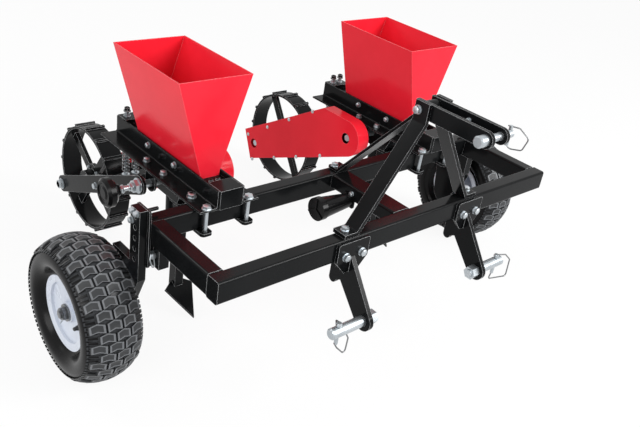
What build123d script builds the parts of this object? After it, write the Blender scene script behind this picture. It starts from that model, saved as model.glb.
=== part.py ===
"""Two-row planter for a three-point hitch: tube frame, mast, gauge wheels and two seed units."""

import os
from math import atan2, cos, degrees, hypot, radians, sin

from build123d import *

os.makedirs("parts", exist_ok=True)

# Depths run back from the front tube's face, heights up from the floor, all in mm

# Frame of rectangular tube
frame_w = 1170.0
frame_d = 310.0
frame_top = 410.0
tube_d = 40.0
tube_h = 56.0
tube_wall = 3.0
tube_corner = 6.0
cross_w = 60.0
cross_h = 40.0
drain_r = 6.0

# Lower hitch arms with their pins
hitch_x = 10.0
arm_half = 217.0
arm_t = 12.0
arm_drop = 46.0
eye_r = 27.0
flange_t = 9.0
flange_w = 100.0
flange_toe = 44.0
flange_h = 84.0
flange_drop = 4.0
flange_corner = 7.0
heel_y = 38.0
heel_drop = 132.0
heel_r = 12.0
notch_y = 12.0
notch_drop = 124.0
low_pin_y = -80.0
low_pin_drop = 186.0
low_pin_r = 14.2
low_pin_len = 102.0
low_stud_r = 11.0
low_stud_end = 5.0
low_nut_af = 32.0
low_nut_h = 26.0
pin_chamfer = 3.0

# Top link and mast of flat bar
link_z = 691.0
link_gap = 44.0
link_t = 10.0
link_h = 40.0
link_back = 50.0
top_pin_y = -157.0
top_pin_r = 9.5
top_pin_out = 34.0
top_head_r = 14.0
top_head_len = 28.0
apex_y = 32.0
apex_r = 17.0
bolt_r = 6.0
mast_t = 10.0
mast_w = 42.0
mast_step = 2.0
mast_foot = 217.0
mast_toe = 26.0
mast_heel = 14.0
mast_proud = 2.0
mast_bend = 9.0
bend_r = 6.0
brace_w = 40.0
brace_t = 8.0
brace_toe = 19.0
brace_heel = 14.0

# Canister on the cross tube
can_back = 40.0
can_len = 113.0
can_neck_r = 19.0
can_end_r = 29.0
can_cap_r = 31.0
can_cap_len = 17.0
can_rib_h = 3.0
can_rib_t = 5.0
can_ribs = 3
can_pad_t = 4.0
can_pad_w = 44.0
can_pad_h = 36.0
can_drop = 40.0

# Gauge wheels on legs in brackets
tyre_r = 178.0
tyre_w = 140.0
rim_r = 78.0
rim_flange_r = 92.0
rim_half = 50.0
rim_t = 4.0
rim_lip = 3.0
bulge_drop = 6.0
shoulder_in = 4.0
shoulder_drop = 22.0
tread_in = 22.0
tread_drop = 7.0
crown_half = 20.0
tyre_wall = 9.0
tread_wall = 15.0
hub_r = 25.0
hub_in = 60.0
hub_out = 42.0
web_out = 34.0
web_t = 6.0
wheel_out = 97.0
wheel_trail = 51.0
leg_gap = 5.0
leg_t = 20.0
leg_w = 40.0
leg_proud = 32.0
leg_hole_r = 6.5
leg_hole_pitch = 28.0
leg_holes = 5
plate_rear = 100.0
plate_top = 298.0
plate_h = 40.0
axle_eye_r = 36.0
stub_r = 16.0
stub_len = 22.0
spindle_r = 10.0
spindle_out = 50.0
end_plate_w = 56.0
end_plate_r = 6.0
socket_h = 62.0
ear_w = 27.0
ear_d = 25.0
slide_gap = 0.3
fit_gap = 0.05

# Rails of the seed units, clamped over the rear tube
row_gap = 762.0
angle_leg = 49.0
angle_t = 5.0
angle_root = 4.0
angle_edge = 1.2
angle_gap = 65.0
angle_lead = 61.0
angle_len = 483.0
angle_out = 84.0
block_lead = 4.0
block_d = 52.0
block_wall = 6.0
tail_d = 42.0
tail_lead = 4.0
tail_cut = 8.0
clamp_w = 32.0
clamp_over = 25.0
clamp_t = 8.0
clamp_corner = 10.0
clamp_bolt_r = 5.0
clamp_side = 12.0
clamp_head_h = 8.0
clamp_head_af = 18.0

# Hoppers, meters and openers
hop_lead = 91.0
hop_len = 298.0
hop_rise = 288.0
hop_top_w = 204.0
hop_neck_w = 57.0
hop_neck_h = 13.0
hop_wall = 2.5
outlet_r = 20.0
plate_t = 6.0
shaft_back = 153.0
shaft_drop = 36.0
shaft_r = 10.0
meter_w = 60.0
meter_d = 200.0
meter_foot_d = 124.0
meter_skirt = 22.0
meter_low = 40.0
tube_r = 20.0
drop_tip_r = 17.0
drop_len = 184.0
shank_ahead = 36.0
shank_w = 26.0
shank_d = 30.0
shank_low = 50.0
foot_w = 56.0
foot_d = 50.0
foot_t = 8.0
shovel_z = 57.5
shovel_w = 86.0
shovel_len = 100.0
shovel_t = 6.0
shovel_tail = 22.0
shovel_tilt = radians(33)

# Drive wheels, their arms, guards and knobs
drive_reach = 442.0
drive_r = 161.0
drive_lug = 7.0
drive_w = 62.0
drive_band = 7.0
lug_t = 8.0
lug_root = 1.5
lugs = 16
spokes = 4
spoke_w = 27.0
spoke_t = 12.0
drive_hub_r = 26.0
drive_hub_w = 68.0
hub_plate_r = 42.0
bar_x = 104.0
bar_t = 8.0
bar_w = 50.0
axle_out = 14.0
cross_ahead = 14.0
cross_bar_d = 30.0
cross_bar_h = 16.0
spring_x = 15.0
spring_rod_r = 5.0
spring_seat_r = 11.0
spring_seat_t = 5.0
rod_proud = 26.0
rod_play = 0.3
hanger_x = 66.0
hanger_t = 6.0
hanger_r = 23.0
guard_x0 = 104.0
guard_t = 44.0
guard_wall = 2.5
guard_nose = 58.0
guard_half = 54.0
guard_rear = 36.0
guard_peak = 113.0
guard_post_r = 8.0
guard_eye_r = 17.0
guard_inset = 6.0
knob_x = 202.0
knob_r = 38.0
knob_t = 27.0
knob_neck = 14.0
knob_neck_r = 22.0
knob_edge = 7.0
knob_ring_r = 27.0
knob_ring_d = 3.0
knob_ring_w = 8.0
knob_boss_r = 13.0
knob_skin = 8.0
stud_r = 7.0
pivot_gap = 1.0
pivot_nut_r = 15.0
pivot_nut_h = 15.0

# Places worked out from the sizes above
low_pin_z = frame_top - low_pin_drop
apex_z = link_z
mast_top = link_z + link_h / 2 + mast_proud
leg_x = frame_w / 2 + leg_gap + leg_t / 2
leg_y = frame_d - tube_d / 2
leg_top = frame_top + leg_proud
wheel_x = leg_x + leg_t / 2 + wheel_out
wheel_y = leg_y + wheel_trail
unit_x = row_gap / 2
angle_y0 = frame_d - angle_lead
angle_y1 = angle_y0 + angle_len
rail_top = frame_top + angle_leg
hop_y0 = angle_y0 + hop_lead
hop_neck = rail_top
hop_base = hop_neck - hop_neck_h
hop_top = frame_top + hop_rise
shaft_y = hop_y0 + shaft_back
shaft_z = frame_top - shaft_drop
meter_base = shaft_z - meter_low
drive_tip = drive_r + drive_lug
drive_y = shaft_y + drive_reach
drive_z = drive_tip
cross_y = angle_y1 - cross_ahead
cross_z = shaft_z + (drive_z - shaft_z) * (cross_y - shaft_y) / (drive_y - shaft_y)
y_front = -(drive_y + drive_tip + top_pin_y - link_h / 2) / 2


def fy(depth):
    """Row Y of a depth measured back from the front tube's face."""
    return y_front + depth


def plane_yz(x):
    """Sketch plane across the machine, local x rearward and local y up."""
    return Plane(origin=(x, y_front, 0), x_dir=(0, 1, 0), z_dir=(1, 0, 0))


def plane_xz(depth):
    """Sketch plane facing forward, local x lateral and local y up."""
    return Plane(origin=(0, fy(depth), 0), x_dir=(1, 0, 0), z_dir=(0, -1, 0))


def hub_plane(x, depth, height, side):
    """Sketch plane through a wheel's axle, local x outward and local y up."""
    return Plane(origin=(x, fy(depth), height), x_dir=(side, 0, 0), z_dir=(0, -side, 0))


def bar_edges(path, thick):
    """Corner points of both edges of a flat bar bent along a path."""
    near = []
    far = []
    for i, (a, b) in enumerate(path):
        before = path[max(i - 1, 0)]
        after = path[min(i + 1, len(path) - 1)]
        turn_in = atan2(b - before[1], a - before[0]) if i else None
        turn_out = atan2(after[1] - b, after[0] - a) if i < len(path) - 1 else turn_in
        turn_in = turn_out if turn_in is None else turn_in
        mid = (turn_in + turn_out) / 2
        half = thick / 2 / cos((turn_out - turn_in) / 2)
        near.append((a - half * sin(mid), b + half * cos(mid)))
        far.append((a + half * sin(mid), b - half * cos(mid)))
    return near, far


# Tubes of the frame: name, run, middle x, middle depth, length, width, height, closed ends
side_x = frame_w / 2 - tube_d / 2
inner_d = frame_d - 2 * tube_d
tubes = (
    ("front_tube", "x", 0, tube_d / 2, frame_w, tube_d, tube_h, True),
    ("rear_tube", "x", 0, frame_d - tube_d / 2, frame_w, tube_d, tube_h, True),
    ("left_tube", "y", -side_x, frame_d / 2, inner_d, tube_d, tube_h, False),
    ("right_tube", "y", side_x, frame_d / 2, inner_d, tube_d, tube_h, False),
    ("cross_tube", "y", 0, frame_d / 2, inner_d, cross_w, cross_h, False),
)
for name, run, mid_x, mid_y, length, wide, high, closed in tubes:
    along = (1, 0, 0) if run == "x" else (0, 1, 0)
    across = (0, 1, 0) if run == "x" else (-1, 0, 0)
    section = Plane(origin=(mid_x, fy(mid_y), frame_top - high / 2), x_dir=across, z_dir=along)
    with BuildPart() as tube:
        with BuildSketch(section):
            RectangleRounded(wide, high, tube_corner)
            RectangleRounded(
                wide - 2 * tube_wall,
                high - 2 * tube_wall,
                tube_corner - tube_wall,
                mode=Mode.SUBTRACT,
            )
        extrude(amount=length / 2, both=True)
        if closed:
            for end in (-1, 1):
                with BuildSketch(section.offset(end * length / 2)):
                    RectangleRounded(wide, high, tube_corner)
                extrude(amount=-end * tube_wall)
        with Locations((mid_x, fy(mid_y), frame_top - high)):
            Cylinder(drain_r, 4 * tube_wall, mode=Mode.SUBTRACT)
    tube.part.label = name
    export_step(tube.part, f"parts/{name}.step")

# Top link: two bars with a round nose, drilled for the pin and the apex bolt
with BuildPart() as top_link_bars:
    for s in (-1, 1):
        with BuildSketch(plane_yz(hitch_x + s * (link_gap + link_t) / 2)):
            with Locations(((link_back + top_pin_y) / 2, link_z)):
                Rectangle(link_back - top_pin_y, link_h)
            with Locations((top_pin_y, link_z)):
                Circle(link_h / 2)
                Circle(top_pin_r + fit_gap, mode=Mode.SUBTRACT)
            with Locations((apex_y, apex_z)):
                Circle(bolt_r, mode=Mode.SUBTRACT)
        extrude(amount=link_t / 2, both=True)
top_link_bars.part.label = "top_link_bars"
export_step(top_link_bars.part, "parts/top_link_bars.step")

# Captive pin with a stepped head
pin_x0 = hitch_x - link_gap / 2 - link_t
pin_x1 = hitch_x + link_gap / 2 + link_t + top_pin_out
with BuildPart() as top_link_pin:
    with BuildSketch(hub_plane(0, top_pin_y, link_z, 1)):
        with BuildLine():
            Polyline(
                (pin_x0 - top_head_len, 0),
                (pin_x0 - top_head_len, top_head_r - pin_chamfer),
                (pin_x0 - top_head_len + pin_chamfer, top_head_r),
                (pin_x0, top_head_r),
                (pin_x0, top_pin_r),
                (pin_x1 - pin_chamfer, top_pin_r),
                (pin_x1, top_pin_r - pin_chamfer),
                (pin_x1, 0),
                close=True,
            )
        make_face()
    revolve(axis=Axis((0, fy(top_pin_y), link_z), (1, 0, 0)))
top_link_pin.part.label = "top_link_pin"
export_step(top_link_pin.part, "parts/top_link_pin.step")

# Brace from the rear tube up to a sleeve between the bars
brace_foot = frame_d - tube_d / 2
brace_path = (
    (brace_foot + brace_toe, frame_top + brace_t / 2),
    (brace_foot - brace_heel, frame_top + brace_t / 2),
    (apex_y + apex_r / 2, apex_z - apex_r / 2),
)
near, far = bar_edges(brace_path, brace_t)
with BuildPart() as mast_brace:
    with BuildSketch(plane_yz(hitch_x)):
        with BuildLine():
            FilletPolyline(*near, radius=bend_r)
            FilletPolyline(*far, radius=bend_r)
            Line(near[0], far[0])
            Line(near[-1], far[-1])
        make_face()
    extrude(amount=brace_w / 2, both=True)
    with BuildSketch(plane_yz(hitch_x)):
        with Locations((apex_y, apex_z)):
            Circle(apex_r)
    extrude(amount=link_gap / 2, both=True)
    with BuildSketch(plane_yz(hitch_x)):
        with Locations((apex_y, apex_z)):
            Circle(bolt_r)
    extrude(amount=link_gap, both=True, mode=Mode.SUBTRACT)
mast_brace.part.label = "mast_brace"
export_step(mast_brace.part, "parts/mast_brace.step")

# Canister: tapered body with a cap, ribs on the cap and a mounting pad
can_x = -cross_w / 2
can_y = frame_d / 2 + can_back
can_z = frame_top - can_drop
can_end = can_x - can_pad_t - can_len
with BuildPart() as canister:
    with BuildSketch(plane_xz(can_y)):
        with BuildLine():
            Polyline(
                (can_x - can_pad_t, can_z),
                (can_x - can_pad_t, can_z + can_neck_r),
                (can_end + can_cap_len, can_z + can_end_r),
                (can_end + can_cap_len, can_z + can_cap_r),
                (can_end, can_z + can_cap_r),
                (can_end, can_z),
                close=True,
            )
        make_face()
    revolve(axis=Axis((0, fy(can_y), can_z), (1, 0, 0)))
    with BuildSketch(plane_yz(can_x)):
        with Locations((can_y, can_z)):
            RectangleRounded(can_pad_w, can_pad_h, tube_corner)
    extrude(amount=-can_pad_t)
    with BuildSketch(plane_yz(can_end)):
        with Locations((can_y, can_z)):
            with PolarLocations(can_end_r / 2, can_ribs, start_angle=90):
                Rectangle(can_end_r, can_rib_t)
    extrude(amount=-can_rib_h)
canister.part.label = "canister"
export_step(canister.part, "parts/canister.step")

# Pieces that both sides share in one node
sides = (-1, 1)
rails = tuple((a * unit_x, s) for a in sides for s in sides)
tube_under = frame_top - tube_h

# Brackets of the gauge wheel legs: end plate, socket under the rear tube, ear under the side tube
plate_low = tube_under - socket_h
socket_x = (frame_w - tube_d) / 2
ear_x = frame_w / 2 - tube_d + ear_w / 2
with BuildPart() as leg_brackets:
    for side in sides:
        with BuildSketch(plane_yz(side * frame_w / 2)):
            with Locations((leg_y, (leg_top + plate_low) / 2)):
                RectangleRounded(end_plate_w, leg_top - plate_low, end_plate_r)
        extrude(amount=side * leg_gap)
        with BuildSketch(Plane.XY.offset(tube_under)):
            with Locations((side * socket_x, fy(leg_y))):
                Rectangle(tube_d, tube_d)
            with Locations((side * ear_x, fy(leg_y - (tube_d + ear_d) / 2))):
                Rectangle(ear_w, ear_d)
        extrude(amount=-socket_h)
leg_brackets.part.label = "leg_brackets"
export_step(leg_brackets.part, "parts/leg_brackets.step")

# Angle irons with a rounded root, drilled for the clamp bolts
clamp_ys = (frame_d - tube_d - clamp_side, frame_d + clamp_side)
clamp_x = (angle_gap / 2 + angle_t + angle_out) / 2
with BuildPart() as angle_irons:
    for mid_x, s in rails:
        web_in = mid_x + s * angle_gap / 2
        web_face = web_in + s * angle_t
        toe = mid_x + s * angle_out
        with BuildSketch(plane_xz(angle_y0)) as angle:
            with BuildLine():
                Polyline(
                    (web_in, frame_top),
                    (toe, frame_top),
                    (toe, frame_top + angle_t),
                    (web_face, frame_top + angle_t),
                    (web_face, rail_top),
                    (web_in, rail_top),
                    close=True,
                )
            make_face()
            fillet(angle.vertices().sort_by_distance((web_face, frame_top + angle_t))[0], angle_root)
            for corner in ((toe, frame_top + angle_t), (web_face, rail_top), (web_in, rail_top)):
                fillet(angle.vertices().sort_by_distance(corner)[0], angle_edge)
        extrude(amount=-angle_len)
    for mid_x, s in rails:
        for y in clamp_ys:
            with Locations((mid_x + s * clamp_x, fy(y), frame_top)):
                Cylinder(clamp_bolt_r + rod_play, 4 * angle_t, mode=Mode.SUBTRACT)
angle_irons.part.label = "angle_irons"
export_step(angle_irons.part, "parts/angle_irons.step")

# Clamp plates under the rear tube, with their hexagon bolts
with BuildPart() as clamps:
    for mid_x, s in rails:
        bolt_x = mid_x + s * clamp_x
        with BuildSketch(Plane.XY.offset(tube_under - clamp_t)):
            with Locations((bolt_x, fy(leg_y))):
                RectangleRounded(clamp_w, tube_d + 2 * clamp_over, clamp_corner)
        extrude(amount=clamp_t)
        for y in clamp_ys:
            with BuildSketch(Plane.XY.offset(tube_under)):
                with Locations((bolt_x, fy(y))):
                    Circle(clamp_bolt_r)
            extrude(amount=tube_h + angle_t)
            with BuildSketch(Plane.XY.offset(frame_top + angle_t)):
                with Locations((bolt_x, fy(y))):
                    RegularPolygon(clamp_head_af / 2, 6, major_radius=False)
            extrude(amount=clamp_head_h)
clamps.part.label = "clamps"
export_step(clamps.part, "parts/clamps.step")

# Blocks between the irons: a folded one in front, a drilled one behind for the spring rods
front_y = angle_y0 - block_lead + block_d / 2
tail_y = angle_y1 + tail_lead - tail_d / 2
with BuildPart() as end_blocks:
    for side in sides:
        mid_x = side * unit_x
        with BuildSketch(Plane.XY.offset(frame_top)):
            with Locations((mid_x, fy(front_y))):
                Rectangle(angle_gap, block_d)
        extrude(amount=angle_leg)
        with BuildSketch(Plane.XY.offset(frame_top)):
            with Locations((mid_x, fy(front_y))):
                Rectangle(angle_gap - 2 * block_wall, block_d - 2 * block_wall)
        extrude(amount=angle_leg - block_wall, mode=Mode.SUBTRACT)
        with BuildSketch(Plane.XY.offset(frame_top + tail_cut)):
            with Locations((mid_x, fy(tail_y))):
                Rectangle(angle_gap, tail_d)
            for s in sides:
                with Locations((mid_x + s * spring_x, fy(cross_y))):
                    Circle(spring_rod_r + rod_play, mode=Mode.SUBTRACT)
        extrude(amount=angle_leg - tail_cut)
end_blocks.part.label = "end_blocks"
export_step(end_blocks.part, "parts/end_blocks.step")

# Rods of the down springs, from the rear blocks to the cross bars of the wheel arms
rod_low = cross_z + cross_bar_h / 2
with BuildPart() as spring_rods:
    for mid_x, s in rails:
        steps = ((spring_rod_r, rail_top + rod_proud - rod_low), (spring_seat_r, spring_seat_t))
        for radius, length in steps:
            with BuildSketch(Plane.XY.offset(rod_low)):
                with Locations((mid_x + s * spring_x, fy(cross_y))):
                    Circle(radius)
            extrude(amount=length)
spring_rods.part.label = "spring_rods"
export_step(spring_rods.part, "parts/spring_rods.step")

# Hanger plates that carry the meter shafts under the irons
with BuildPart() as hangers:
    for mid_x, s in rails:
        with BuildSketch(plane_yz(mid_x + s * hanger_x)):
            with Locations((shaft_y, (shaft_z + frame_top) / 2)):
                Rectangle(2 * hanger_r, frame_top - shaft_z)
            with Locations((shaft_y, shaft_z)):
                Circle(hanger_r)
                Circle(shaft_r + fit_gap, mode=Mode.SUBTRACT)
        extrude(amount=s * hanger_t)
hangers.part.label = "hangers"
export_step(hangers.part, "parts/hangers.step")

# Each side: sign of x, name, and the turn of the drive wheel's spokes as it stands
for side, tag, spoke_turn in ((-1, "left", 36), (1, "right", 56)):
    # Lower hitch arm: flange on the front tube, eye for the pin, heel under the tube
    arm_x = hitch_x + side * arm_half
    arm_top = frame_top - arm_drop
    flange_top = frame_top - flange_drop
    lean = atan2(arm_top - low_pin_z, -low_pin_y)
    eye_y = eye_r * sin(lean)
    eye_z = eye_r * cos(lean)
    heel_z = frame_top - heel_drop
    with BuildPart() as hitch_arm:
        with BuildSketch(plane_xz(-flange_t)) as flange:
            with BuildLine():
                Polyline(
                    (arm_x - flange_w / 2, flange_top),
                    (arm_x + flange_w / 2, flange_top),
                    (arm_x + flange_w / 2, arm_top - flange_t),
                    (arm_x + flange_toe / 2, flange_top - flange_h),
                    (arm_x - flange_toe / 2, flange_top - flange_h),
                    (arm_x - flange_w / 2, arm_top - flange_t),
                    close=True,
                )
            make_face()
            fillet(flange.vertices(), flange_corner)
        extrude(amount=-flange_t)
        with BuildSketch(plane_yz(arm_x)):
            with BuildLine():
                Polyline(
                    (0, arm_top),
                    (-flange_t, arm_top),
                    (low_pin_y - eye_y, low_pin_z + eye_z),
                    (low_pin_y + eye_y, low_pin_z - eye_z),
                    (notch_y, frame_top - notch_drop),
                    (heel_y - heel_r, heel_z),
                    (heel_y + heel_r, heel_z),
                    (heel_y + heel_r, tube_under),
                    (0, tube_under),
                    close=True,
                )
            make_face()
            with Locations((heel_y, heel_z)):
                Circle(heel_r)
            with Locations((low_pin_y, low_pin_z)):
                Circle(eye_r)
                Circle(low_stud_r + fit_gap, mode=Mode.SUBTRACT)
        extrude(amount=arm_t / 2, both=True)
    hitch_arm.part.label = f"hitch_arm_{tag}"
    export_step(hitch_arm.part, f"parts/hitch_arm_{tag}.step")

    # Lower pin: turned shank outside the arm, stud through the eye, hexagon inside
    pin_face = arm_t / 2
    pin_end = pin_face + low_pin_len
    stud_end = -arm_t / 2 - low_nut_h - low_stud_end
    with BuildPart() as lower_pin:
        with BuildSketch(hub_plane(arm_x, low_pin_y, low_pin_z, side)):
            with BuildLine():
                Polyline(
                    (stud_end, 0),
                    (stud_end, low_stud_r),
                    (pin_face, low_stud_r),
                    (pin_face, low_pin_r),
                    (pin_end - pin_chamfer, low_pin_r),
                    (pin_end, low_pin_r - pin_chamfer),
                    (pin_end, 0),
                    close=True,
                )
            make_face()
        revolve(axis=Axis((0, fy(low_pin_y), low_pin_z), (1, 0, 0)))
        with BuildSketch(plane_yz(arm_x - side * arm_t / 2)):
            with Locations((low_pin_y, low_pin_z)):
                RegularPolygon(low_nut_af / 2, 6, major_radius=False)
        extrude(amount=-side * low_nut_h)
    lower_pin.part.label = f"lower_pin_{tag}"
    export_step(lower_pin.part, f"parts/lower_pin_{tag}.step")

    # Mast leg, a flat bar bent at the foot and at the top
    leg_in = link_gap / 2 + link_t + mast_t / 2
    mast_path = (
        (hitch_x + side * (mast_foot + mast_toe), frame_top + mast_t / 2),
        (hitch_x + side * (mast_foot - mast_heel), frame_top + mast_t / 2),
        (hitch_x + side * leg_in, link_z - link_h / 2 - mast_bend),
        (hitch_x + side * leg_in, mast_top),
    )
    near, far = bar_edges(mast_path, mast_t)
    with BuildPart() as mast_leg:
        with BuildSketch(plane_xz(mast_step)):
            with BuildLine():
                FilletPolyline(*near, radius=bend_r)
                FilletPolyline(*far, radius=bend_r)
                Line(near[0], far[0])
                Line(near[-1], far[-1])
            make_face()
        extrude(amount=-mast_w)
        with BuildSketch(plane_yz(hitch_x)):
            with Locations((apex_y, apex_z)):
                Circle(bolt_r)
        extrude(amount=side * 2 * link_gap, mode=Mode.SUBTRACT)
    mast_leg.part.label = f"mast_leg_{tag}"
    export_step(mast_leg.part, f"parts/mast_leg_{tag}.step")

    # Gauge wheel leg: drilled bar, swept-back plate with an eye, stub and spindle
    leg_face = side * (leg_x + leg_t / 2)
    with BuildPart() as wheel_leg:
        with BuildSketch(plane_yz(side * leg_x)):
            with Locations((leg_y, (leg_top + plate_top - plate_h) / 2)):
                Rectangle(leg_w, leg_top - plate_top + plate_h)
            with BuildLine():
                Polyline(
                    (leg_y - leg_w / 2, plate_top),
                    (leg_y + plate_rear, plate_top),
                    (leg_y + plate_rear, plate_top - leg_t),
                    (wheel_y + axle_eye_r, tyre_r),
                    (wheel_y - axle_eye_r, tyre_r),
                    (leg_y - leg_w / 2, plate_top - plate_h),
                    close=True,
                )
            make_face()
            with Locations((wheel_y, tyre_r)):
                Circle(axle_eye_r)
            for i in range(leg_holes):
                with Locations((leg_y, leg_top - leg_w / 2 - i * leg_hole_pitch)):
                    Circle(leg_hole_r, mode=Mode.SUBTRACT)
        extrude(amount=leg_t / 2, both=True)
        for radius, length in ((stub_r, stub_len), (spindle_r, wheel_out + spindle_out)):
            with BuildSketch(plane_yz(leg_face)):
                with Locations((wheel_y, tyre_r)):
                    Circle(radius)
            extrude(amount=side * length)
    wheel_leg.part.label = f"wheel_leg_{tag}"
    export_step(wheel_leg.part, f"parts/wheel_leg_{tag}.step")

    # Gauge wheel rim: barrel with flared flanges, dished web and long hub
    hub_axis = Axis((0, fy(wheel_y), tyre_r), (1, 0, 0))
    with BuildPart() as gauge_rim:
        with BuildSketch(hub_plane(side * wheel_x, wheel_y, tyre_r, side)):
            with BuildLine():
                Polyline(
                    (-rim_half, rim_flange_r),
                    (-rim_half + rim_lip, rim_flange_r),
                    (-rim_half + 2 * rim_lip, rim_r),
                    (rim_half - 2 * rim_lip, rim_r),
                    (rim_half - rim_lip, rim_flange_r),
                    (rim_half, rim_flange_r),
                    (rim_half - rim_lip, rim_r - rim_t),
                    (web_out + web_t, rim_r - rim_t),
                    (web_out, hub_r),
                    (hub_out, hub_r),
                    (hub_out, spindle_r + fit_gap),
                    (-hub_in, spindle_r + fit_gap),
                    (-hub_in, hub_r),
                    (web_out - web_t, hub_r),
                    (web_out, rim_r - rim_t),
                    (-rim_half + rim_lip, rim_r - rim_t),
                    close=True,
                )
            make_face()
        revolve(axis=hub_axis)
    gauge_rim.part.label = f"gauge_rim_{tag}"
    export_step(gauge_rim.part, f"parts/gauge_rim_{tag}.step")

    # Tyre carcass, half section: outward place and radius, bead to crown, then back inside
    half_w = tyre_w / 2
    bead = rim_half - 2 * rim_lip - slide_gap
    seat = rim_r + slide_gap
    bead_top = rim_flange_r + rim_lip
    outer_half = (
        (bead, seat),
        (bead, bead_top),
        (half_w, (bead_top + tyre_r) / 2 - bulge_drop),
        (half_w - shoulder_in, tyre_r - shoulder_drop),
        (half_w - tread_in, tyre_r - tread_drop),
        (crown_half, tyre_r),
    )
    inner_half = (
        (half_w - tread_in, tyre_r - tread_drop - tread_wall),
        (half_w - tyre_wall, (bead_top + tyre_r) / 2 - bulge_drop),
        (bead - tyre_wall, bead_top),
        (bead - tyre_wall, seat),
    )
    outer = [(-a, b) for a, b in outer_half] + [(a, b) for a, b in outer_half[::-1]]
    inner = [(a, b) for a, b in inner_half[::-1]] + [(-a, b) for a, b in inner_half]
    with BuildPart() as tyre:
        with BuildSketch(hub_plane(side * wheel_x, wheel_y, tyre_r, side)):
            with BuildLine():
                Polyline(*outer, *inner, close=True)
            make_face()
        revolve(axis=hub_axis)
    tyre.part.label = f"tyre_{tag}"
    export_step(tyre.part, f"parts/tyre_{tag}.step")

    # Hopper: sheet trough with sloping sides and upright ends, open at the top
    mid_x = side * unit_x
    with BuildPart() as hopper:
        with BuildSketch(plane_xz(hop_y0)):
            with BuildLine():
                Polyline(
                    (mid_x - hop_neck_w / 2, hop_base),
                    (mid_x + hop_neck_w / 2, hop_base),
                    (mid_x + hop_neck_w / 2, hop_neck),
                    (mid_x + hop_top_w / 2, hop_top),
                    (mid_x - hop_top_w / 2, hop_top),
                    (mid_x - hop_neck_w / 2, hop_neck),
                    close=True,
                )
            make_face()
        extrude(amount=-hop_len)
        offset(amount=-hop_wall, openings=hopper.faces().sort_by(Axis.Z)[-1])
        with Locations((mid_x, fy(shaft_y), hop_base)):
            Cylinder(outlet_r, 4 * hop_wall, mode=Mode.SUBTRACT)
    hopper.part.label = f"hopper_{tag}"
    export_step(hopper.part, f"parts/hopper_{tag}.step")

    # Seed meter: base plate between the irons, tapered housing and drop tube
    plate_y0 = front_y + block_d / 2
    plate_y1 = tail_y - tail_d / 2
    with BuildPart() as meter:
        with BuildSketch(Plane.XY.offset(hop_base - plate_t)):
            with Locations((mid_x, fy((plate_y0 + plate_y1) / 2))):
                Rectangle(angle_gap, plate_y1 - plate_y0)
        extrude(amount=plate_t)
        with BuildSketch(plane_yz(mid_x)) as housing:
            with BuildLine():
                Polyline(
                    (shaft_y - meter_d / 2, hop_base - plate_t),
                    (shaft_y + meter_d / 2, hop_base - plate_t),
                    (shaft_y + meter_d / 2, hop_base - plate_t - meter_skirt),
                    (shaft_y + meter_foot_d / 2, meter_base),
                    (shaft_y - meter_foot_d / 2, meter_base),
                    (shaft_y - meter_d / 2, hop_base - plate_t - meter_skirt),
                    close=True,
                )
            make_face()
        extrude(amount=meter_w / 2, both=True)
        with BuildSketch(Plane.XY.offset(meter_base)):
            with Locations((mid_x, fy(shaft_y))):
                Circle(tube_r)
        with BuildSketch(Plane.XY.offset(meter_base - drop_len)):
            with Locations((mid_x, fy(shaft_y))):
                Circle(drop_tip_r)
        loft(ruled=True)
        with BuildSketch(Plane.XY.offset(meter_base - drop_len)):
            with Locations((mid_x, fy(shaft_y))):
                Circle(drop_tip_r - hop_wall)
        extrude(amount=drop_len, mode=Mode.SUBTRACT)
        with BuildSketch(plane_yz(mid_x)):
            with Locations((shaft_y, shaft_z)):
                Circle(shaft_r + fit_gap)
        extrude(amount=meter_w, both=True, mode=Mode.SUBTRACT)
    meter.part.label = f"meter_{tag}"
    export_step(meter.part, f"parts/meter_{tag}.step")

    # Opener: foot plate under the meter, square shank and pointed shovel
    shank_y = shaft_y - shank_ahead
    shovel_plane = Plane(
        origin=(mid_x, fy(shank_y - shank_d / 2 + shovel_t / 2), shovel_z),
        x_dir=(1, 0, 0),
        z_dir=(0, -sin(shovel_tilt), cos(shovel_tilt)),
    )
    with BuildPart() as opener:
        with BuildSketch(Plane.XY.offset(meter_base)):
            with Locations((mid_x, fy(shank_y + shank_d / 2 - foot_d / 2))):
                RectangleRounded(foot_w, foot_d, tube_corner)
        extrude(amount=-foot_t)
        with BuildSketch(Plane.XY.offset(shank_low)):
            with Locations((mid_x, fy(shank_y))):
                Rectangle(shank_w, shank_d)
        extrude(amount=meter_base - foot_t - shank_low)
        with BuildSketch(shovel_plane):
            with BuildLine():
                Polyline(
                    (-shank_w / 2, shovel_tail),
                    (shank_w / 2, shovel_tail),
                    (shovel_w / 2, 0),
                    (0, -shovel_len),
                    (-shovel_w / 2, 0),
                    close=True,
                )
            make_face()
        extrude(amount=shovel_t)
    opener.part.label = f"opener_{tag}"
    export_step(opener.part, f"parts/opener_{tag}.step")

    # Wheel arms with the cross bar that takes the down springs
    slope = degrees(atan2(shaft_z - drive_z, shaft_y - drive_y))
    reach = hypot(shaft_z - drive_z, shaft_y - drive_y)
    pivots = ((shaft_y, shaft_z), (drive_y, drive_z))
    with BuildPart() as wheel_arms:
        for s in sides:
            with BuildSketch(plane_yz(mid_x + s * bar_x)):
                with Locations(((shaft_y + drive_y) / 2, (shaft_z + drive_z) / 2)):
                    SlotCenterToCenter(reach, bar_w, rotation=slope)
                with Locations(*pivots):
                    Circle(shaft_r + fit_gap, mode=Mode.SUBTRACT)
            extrude(amount=-s * bar_t)
        with BuildSketch(plane_yz(mid_x)):
            with Locations((cross_y, cross_z)):
                Rectangle(cross_bar_d, cross_bar_h)
        extrude(amount=bar_x - bar_t, both=True)
    wheel_arms.part.label = f"wheel_arms_{tag}"
    export_step(wheel_arms.part, f"parts/wheel_arms_{tag}.step")

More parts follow.
